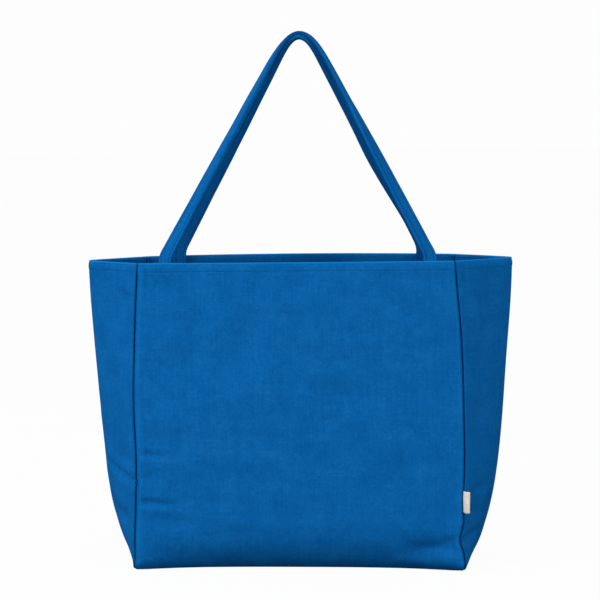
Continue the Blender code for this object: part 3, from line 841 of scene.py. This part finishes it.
# Point row on a grid at a distance below the rim, and its direction down the wall, between two grid rows.
def rowBelow(grid, below, fromTop):
    source = grid if fromTop else grid[::-1]
    wall = source[:40, source.shape[1] // 2, 2]
    position = np.interp(-(bag["height"] - below), -wall, np.arange(len(wall)))
    low = int(position)
    f = position - low
    path = source[low] * (1 - f) + source[low + 1] * f
    down = source[low + 2] - source[low]
    return path, down


# Normals of such a row, on the side that away points to.
def rowNormals(path, down, away):
    along = np.gradient(path, axis=0)
    normal = unit(np.cross(along, down))
    flip = np.sign(np.sum(normal * away, axis=1, keepdims=True))
    return normal * flip


hemStitches = []
for below in (stitchRows["upper"], stitchRows["lower"]):
    for wall in (-1, 1):
        path, down = rowBelow(strip, below, wall < 0)
        normal = rowNormals(path, down, np.array((0.0, wall, 0.0)))
        hemStitches.append(stitchGeometry(path + normal * half, normal, 0.5 + below * 10))
        inner = path - normal * (half + 2 * bag["hemRoll"])
        hemStitches.append(stitchGeometry(inner, -normal, 0.5 + below * 10))
    for side in (-1, 1):
        field = gussets[side][0]
        path, down = rowBelow(field, below, False)
        normal = rowNormals(path, down, np.array((float(side), 0.0, 0.0)))
        hemStitches.append(stitchGeometry(path + normal * half, normal))
        hemStitches.append(stitchGeometry(path - normal * (half + 2 * bag["hemRoll"]), -normal))
hemThread = stitchMesh("hemStitches", [settle(rings) for rings in hemStitches], blueThread)
print("hem stitched")

# Handles. The turns are the strap's twist in degrees at the twist heights, shares of the rise.
straps = {
    "width": 0.0158,
    "thickness": 0.0050,
    "stitchInset": 0.0034,
    "round": 0.0014,
    "rimShift": -0.0002,
    "clearance": 0.0006,
    "stitchDip": 0.00065,
    "stitchSink": 0.0005,
    "sewnBelow": (0.0048, 0.0104),
    "sewnMargin": 0.0012,
}
# innerShade and apexShade set painted shade on the legs' inner faces and at the apex.
handleShapes = {
    "front": {
        "wall": -1, "halfSpan": 0.1568, "bend": 0.020, "drop": 0.2666, "curl": 0.0138,
        "topShift": 0.0044, "leftShift": 0.0012, "rightPull": 0.0, "innerShade": 0.5, "apexShade": 0.55,
        "left": (6, 18, 32, 42, 56, 68, 76, 88), "right": (34, 35, 36, 39, 55, 78, 84, 88),
    },
    "back": {
        "wall": 1, "halfSpan": 0.1487, "bend": 0.030, "drop": 0.26195, "curl": 0.0098,
        "topShift": 0.0036, "leftShift": -0.0010, "rightPull": 0.0028, "innerShade": 0.48, "apexShade": 0.10,
        "left": (4, 12, 28, 38, 47, 58, 70, 88), "right": (24, 50, 64, 56, 46, 58, 72, 88),
    },
}
twistHeights = (0.0, 0.05, 0.16, 0.27, 0.48, 0.70, 0.88, 1.0)


# Half of a handle in its own plane, from the hem's lower edge to the apex. From the apex
# down, the slope of the leg is turn * (1 - exp(-run / curl)); the turn is found by halving
# so that the leg meets a small bend that sets it upright at the rim.
def handleLeg(shape, count):
    run = np.linspace(0, 0.36, 3601)
    curve = 1 - np.exp(-run / shape["curl"])
    low, high = 0.8, 1.4
    for _ in range(40):
        turn = (low + high) / 2
        across = np.cumsum(np.cos(turn * curve)) * run[1]
        fall = np.cumsum(np.sin(turn * curve)) * run[1]
        target = shape["halfSpan"] + shape["bend"] * (1 / np.sin(turn) - 1)
        wide = np.interp(shape["drop"], fall, across) > target
        low, high = (turn, high) if wide else (low, turn)
    height = shape["drop"] - fall
    foot = shape["bend"] * np.cos(turn)
    upper = height > foot
    rise = np.linspace(0, foot, 24)
    lower = shape["halfSpan"] - shape["bend"] + np.sqrt(shape["bend"] ** 2 - rise ** 2)
    points = np.concatenate([
        [[shape["halfSpan"], -bag["hemDepth"]]],
        np.stack([lower, rise], axis=1),
        np.stack([across[upper], height[upper]], axis=1)[::-1],
        [[0.0, shape["drop"]]],
    ])
    total = arcLength(points, 0)
    even = np.linspace(0, total[-1], count)
    return np.stack([np.interp(even, total, points[:, k]) for k in range(2)], axis=1)


# Strap section: half thickness falls off in a quarter circle at both edges and dips a
# little under the two stitch rows; returned as (through, across) pairs round the section.
def strapSection():
    halfWidth, halfThick, edge = straps["width"] / 2, straps["thickness"] / 2, straps["round"]
    s = np.linspace(-1, 1, 41)
    across = halfWidth * np.sin(s * pi / 2)
    inEdge = np.clip((np.abs(across) - (halfWidth - edge)) / edge, 0, 1)
    through = halfThick - edge * (1 - np.sqrt(1 - inEdge ** 2)) * halfThick / edge
    dip = np.exp(-((np.abs(across) - (halfWidth - straps["stitchInset"])) / 0.0007) ** 2)
    through = through - straps["stitchDip"] * dip
    upper = np.stack([through, across], axis=1)
    lower = np.stack([-through, across], axis=1)[::-1]
    return np.concatenate([upper, lower[1:-1]])


# The whole path with its frames: tangent, outward normal turned by the twist, and across.
def handleFrames(shape, count=130):
    leg = handleLeg(shape, count)
    xz = np.concatenate([leg * (-1, 1), leg[:-1][::-1]])
    wall = shape["wall"]
    rise = np.clip(xz[:, 1] / shape["drop"], 0, 1)
    u = shape["halfSpan"] / (bag["mouthWidth"] / 2)
    seat = wallDepth(u, wallTop, wall) - 2 * bag["hemRoll"] - half
    seat = seat - straps["clearance"] - straps["thickness"] / 2
    low = wallTop - bag["hemDepth"]
    lean = (wallDepth(u, low, wall) - wallDepth(u, wallTop, wall)) / bag["hemDepth"]
    y = wall * (seat * (1 - rise ** 1.15) - lean * np.minimum(xz[:, 1], 0))
    x = xz[:, 0] + straps["rimShift"] + shape["topShift"] * rise
    x = x + shape["leftShift"] * smoothStep(0.0, -0.05, xz[:, 0]) * (1 - rise)
    x = x - shape["rightPull"] * smoothStep(0.0, 0.02, xz[:, 0]) * np.exp(-((rise - 0.42) / 0.18) ** 2)
    path = np.stack([x, y, bag["height"] + xz[:, 1]], axis=1)
    tangent = unit(np.gradient(path, axis=0))
    step = 0.04
    slope = wallDepth(u + step, wallTop, wall) - wallDepth(u - step, wallTop, wall)
    slope = slope / (step * bag["mouthWidth"])
    level = np.zeros(len(path))
    facing = unit(np.column_stack([-slope * np.sign(xz[:, 0]), level + wall, level]))
    upper = np.column_stack([-tangent[:, 2], level, tangent[:, 0]])
    left, right = (np.interp(rise, twistHeights, shape[key]) for key in ("left", "right"))
    turns = np.where(xz[:, 0] < 0, left, right)
    start = np.where(xz[:, 0] < 0, shape["left"][0], shape["right"][0])
    early = smoothStep(-0.004, 0.014, xz[:, 1])
    turns = turns - start * (1 - early)
    kernel = np.hanning(15) / np.hanning(15).sum()
    turns = np.radians(np.convolve(np.pad(turns, 7, mode="edge"), kernel, mode="valid"))
    turns = np.where(xz[:, 1] < -0.004, 0.0, turns)[:, None]
    normal = np.cos(turns) * facing + np.sin(turns) * upper
    normal = unit(normal - np.sum(normal * tangent, axis=1, keepdims=True) * tangent)
    return path, tangent, normal, np.cross(tangent, normal)


# Strap skin: the section carried along the path and swelling slightly, with closed ends.
def handlePiece(name, shape, node):
    path, tangent, normal, across = handleFrames(shape)
    section = strapSection()
    run = arcLength(path, 0)
    swell = (1 + 0.035 * softField(run, 0 * run, 0.09, 31 + shape["wall"]))[:, None, None]
    points = path[:, None] + normal[:, None] * section[None, :, :1] * swell
    points = points + across[:, None] * section[None, :, 1:] * (1 + (swell - 1) * 0.3)
    rows, count = points.shape[:2]
    a = (np.arange(rows - 1)[:, None] * count + np.arange(count)[None, :]).ravel()
    b = (np.arange(rows - 1)[:, None] * count + (np.arange(count)[None, :] + 1) % count).ravel()
    faces = np.stack([a, b, b + count, a + count], axis=1).tolist()
    faces += [list(range(count))[::-1], list(range((rows - 1) * count, rows * count))]
    mesh = bpy.data.meshes.new(name)
    mesh.from_pydata(points.reshape(-1, 3).tolist(), [], faces)
    uv = np.stack(np.broadcast_arrays(section[None, :, 1], run[:, None]), axis=2).reshape(-1, 2)
    layer = mesh.uv_layers.new(name="cloth")
    order = np.concatenate([np.array(f) for f in faces])
    layer.data.foreach_set("uv", uv[order].ravel())
    # Painted shade on the strap's inner faces, near its feet and at the apex, stored below zero.
    outside = np.clip(-section[:, 0] / (straps["thickness"] / 2 - straps["round"] * 0.5), -1, 1)
    rise = (path[:, 2] - bag["height"]) / shape["drop"]
    legShade = smoothStep(0.0, 0.03, path[:, 0]) * shape["innerShade"]
    legShade = legShade + 0.20 * (1 - smoothStep(0.02, 0.22, rise))
    apexShade = shape["apexShade"] * np.exp(-(path[:, 0] / 0.022) ** 2)
    deep = legShade[:, None] * smoothStep(-0.4, 0.6, outside)[None, :] + apexShade[:, None]
    wearAndPaintedLight = mesh.attributes.new("wearAndPaintedLight", "FLOAT", "POINT")
    wearAndPaintedLight.data.foreach_set("value", (-np.clip(deep, 0, 1)).ravel())
    mesh.shade_smooth()
    mesh.materials.append(strapCanvas)
    piece = addPiece(name, mesh)
    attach(piece, "root")
    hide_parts(node)
    rowsOut = []
    inset = straps["width"] / 2 - straps["stitchInset"]
    lift = straps["thickness"] / 2 - straps["stitchSink"]
    for edge in (-1, 1):
        for face in (-1, 1):
            line = path + across * edge * inset + normal * face * lift
            rowsOut.append(stitchGeometry(line, normal * face))
    for below in straps["sewnBelow"]:
        for part in (slice(0, len(path) // 2), slice(len(path) // 2, None)):
            height = path[part, 2]
            low = int(np.argmin(np.abs(height - (bag["height"] - below)))) + (part.start or 0)
            spread = np.linspace(-1, 1, 9)[:, None] * (straps["width"] / 2 - straps["sewnMargin"])
            seamRow = path[low] + across[low] * spread - normal[low] * (straps["thickness"] / 2 - 0.00005)
            rowsOut.append(stitchGeometry(seamRow, np.repeat(-normal[low][None], 9, axis=0)))
    return rowsOut


frontRows = handlePiece("frontHandle", handleShapes["front"], "front_handle")
backRows = handlePiece("backHandle", handleShapes["back"], "back_handle")
stitchMesh("frontHandleStitches", frontRows, deepThread)
stitchMesh("backHandleStitches", backRows, deepThread)
print("handles made")

# Side label, a ribbon folded end to end and caught in the right front seam.
sideLabel = {
    "bottom": 0.0724, "length": 0.0250, "reach": 0.0036, "tail": 0.004,
    "bendRun": 0.003, "turn": 0.0022, "lean": radians(14), "sway": 0.10,
    "ribbon": 0.00035, "apart": 0.0004, "levels": 15,
}


# Each level is a path out of the seam, round a small bend and on to the fold; the two
# layers run at a small distance on both sides of it, joined round the fold.
def labelGrid():
    field = gussets[1][0]
    line, _, _, inward = seamFrame(1, gussetInner(field))
    walls = len(wallHeights)
    heights = line[:walls, 2][::-1]
    rows, uvs = [], []
    top = sideLabel["bottom"] + sideLabel["length"]
    for k, z in enumerate(np.linspace(sideLabel["bottom"], top, sideLabel["levels"])):
        part = k / (sideLabel["levels"] - 1)
        foot = np.array([np.interp(z, heights, line[:walls, axis][::-1]) for axis in range(2)])
        way = unit(np.array([np.interp(z, heights, inward[:walls, axis][::-1]) for axis in range(2)]))
        heading = np.arctan2(-way[1], -way[0])
        turn = -sideLabel["lean"] - heading + sideLabel["sway"] * np.sin(part * pi)
        begin = foot - way * (bag["seamRound"] + half)
        angles = heading - pi / 2 + turn * np.linspace(0, 1, 7)
        square = np.array((np.cos(heading + pi / 2), np.sin(heading + pi / 2)))
        centre = begin + square * sideLabel["turn"]
        arc = centre + sideLabel["turn"] * np.stack([np.cos(angles), np.sin(angles)], axis=1)
        away = np.array((np.cos(heading + turn), np.sin(heading + turn)))
        flat = arc[-1] + away * np.linspace(0, 1, 7)[1:, None] * (sideLabel["reach"] + 0.0004 * part)
        path = np.concatenate([[foot + way * sideLabel["tail"]], arc, flat])
        along = unit(np.gradient(path, axis=0))
        out = np.stack([-along[:, 1], along[:, 0]], axis=1)
        distance = arcLength(path, 0)
        opened = np.clip((distance - distance[1]) / (distance[-1] - distance[1]), 0, 1)
        puff = sideLabel["apart"] + 0.0004 * np.sin(pi * opened)
        front = path - out * puff[:, None]
        back = (path + out * puff[:, None])[::-1]
        tip = path[-1] + along[-1] * sideLabel["apart"] * 0.9
        level = np.concatenate([front, [tip], back])
        rows.append(np.column_stack([level, np.full(len(level), z)]))
        uvs.append(np.column_stack([arcLength(level, 0), np.full(len(level), z)]))
    return np.array(rows), np.array(uvs)


labelPiece = thicken(clothMesh("sideLabel", [labelGrid()], labelRibbon), sideLabel["ribbon"])
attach(labelPiece, "root")
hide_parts("side_label")
print("label made")

# Camera: at the photograph's viewing angle, a little to the right and above.
camera = {
    "azimuth": radians(3.73), "elevation": radians(6.24), "roll": radians(-0.77),
    "distance": 2.0, "target": (0.0009, 0.0, 0.3164), "lens": 99.70,
}


def placed(x, y, away, place):
    columns = [np.append(x, 0), np.append(y, 0), np.append(away, 0), np.append(place, 1)]
    return Matrix(np.column_stack(columns).tolist())


def addCamera():
    a, e, r = camera["azimuth"], camera["elevation"], camera["roll"]
    away = np.array((np.sin(a) * np.cos(e), -np.cos(a) * np.cos(e), np.sin(e)))
    right = unit(np.cross(-away, (0.0, 0.0, 1.0)))
    up = np.cross(right, -away)
    x = right * np.cos(r) + up * np.sin(r)
    y = -right * np.sin(r) + up * np.cos(r)
    place = np.array(camera["target"]) + away * camera["distance"]
    data = bpy.data.cameras.new("camera")
    data.lens = camera["lens"]
    data.sensor_width = 36.0
    data.clip_end = 60.0
    made = addPiece("camera", data)
    made.matrix_world = placed(x, y, away, place)
    bpy.context.scene.camera = made


addCamera()

# Floor, room light and lamps. The floor is dark to the room's light and white to the camera,
# so that it keeps the bag's shadow and sends little light up.
studio = {
    "bounce": 0.06, "seenFloor": 0.62, "roomLight": 0.50,
    "seen": 0.985, "whiteShare": 0.95, "whiteGain": 1.010,
}
lamps = [
    {"name": "keyLamp", "place": (-2.4, -1.6, 2.1), "size": 0.9, "power": 71.0},
    {"name": "frontLamp", "place": (-0.9, -2.5, 0.28), "size": 0.4, "power": 13.5},
    {"name": "fillLamp", "place": (2.3, -1.7, 0.7), "size": 0.7, "power": 26.0},
    {"name": "topLamp", "place": (0.0, -0.2, 2.6), "size": 1.2, "power": 6.0},
]


def addFloor():
    mesh = bpy.data.meshes.new("floor")
    r = 25.0
    mesh.from_pydata([(-r, -r, 0), (r, -r, 0), (r, r, 0), (-r, r, 0)], [], [(0, 1, 2, 3)])
    floor = addPiece("floor", mesh)
    material = bpy.data.materials.new("paleFloor")
    material.use_nodes = True
    tree = material.node_tree
    shader = tree.nodes["Principled BSDF"]
    shader.inputs["Roughness"].default_value = 0.9
    shader.inputs["Specular IOR Level"].default_value = 0.1
    path = tree.nodes.new("ShaderNodeLightPath")
    tone = times(tree, path.outputs["Is Camera Ray"], studio["seenFloor"] - studio["bounce"])
    tree.links.new(plus(tree, tone, studio["bounce"]), shader.inputs["Base Color"])
    white = tree.nodes.new("ShaderNodeEmission")
    white.inputs["Color"].default_value = (1.0, 1.0, 1.0, 1.0)
    white.inputs["Strength"].default_value = studio["whiteGain"]
    mix = tree.nodes.new("ShaderNodeMixShader")
    whiteShare = times(tree, path.outputs["Is Camera Ray"], studio["whiteShare"])
    tree.links.new(whiteShare, mix.inputs[0])
    tree.links.new(shader.outputs[0], mix.inputs[1])
    tree.links.new(white.outputs[0], mix.inputs[2])
    tree.links.new(mix.outputs[0], tree.nodes["Material Output"].inputs["Surface"])
    mesh.materials.append(material)


def addRoomLight():
    world = bpy.data.worlds.new("room")
    bpy.context.scene.world = world
    world.use_nodes = True
    tree = world.node_tree
    background = tree.nodes["Background"]
    path = tree.nodes.new("ShaderNodeLightPath")
    seen = mathNode(tree, "MAXIMUM", path.outputs["Is Camera Ray"], path.outputs["Is Glossy Ray"])
    seen = mathNode(tree, "MAXIMUM", seen, path.outputs["Is Transmission Ray"])
    strength = times(tree, seen, studio["seen"] - studio["roomLight"])
    strength = plus(tree, strength, studio["roomLight"])
    background.inputs["Color"].default_value = (1.0, 1.0, 1.0, 1.0)
    tree.links.new(strength, background.inputs["Strength"])


def addLamp(lamp):
    data = bpy.data.lights.new(lamp["name"], "AREA")
    data.size = lamp["size"]
    data.energy = lamp["power"]
    made = addPiece(lamp["name"], data)
    place = np.array(lamp["place"])
    away = unit(place - np.array((0.0, 0.0, 0.25)))
    x = unit(np.cross((0.0, 0.0, 1.0), away))
    y = np.cross(away, x)
    made.matrix_world = placed(x, y, away, place)


addFloor()
addRoomLight()
for lamp in lamps:
    addLamp(lamp)
bpy.context.scene.view_settings.view_transform = "Standard"
print("stage set")
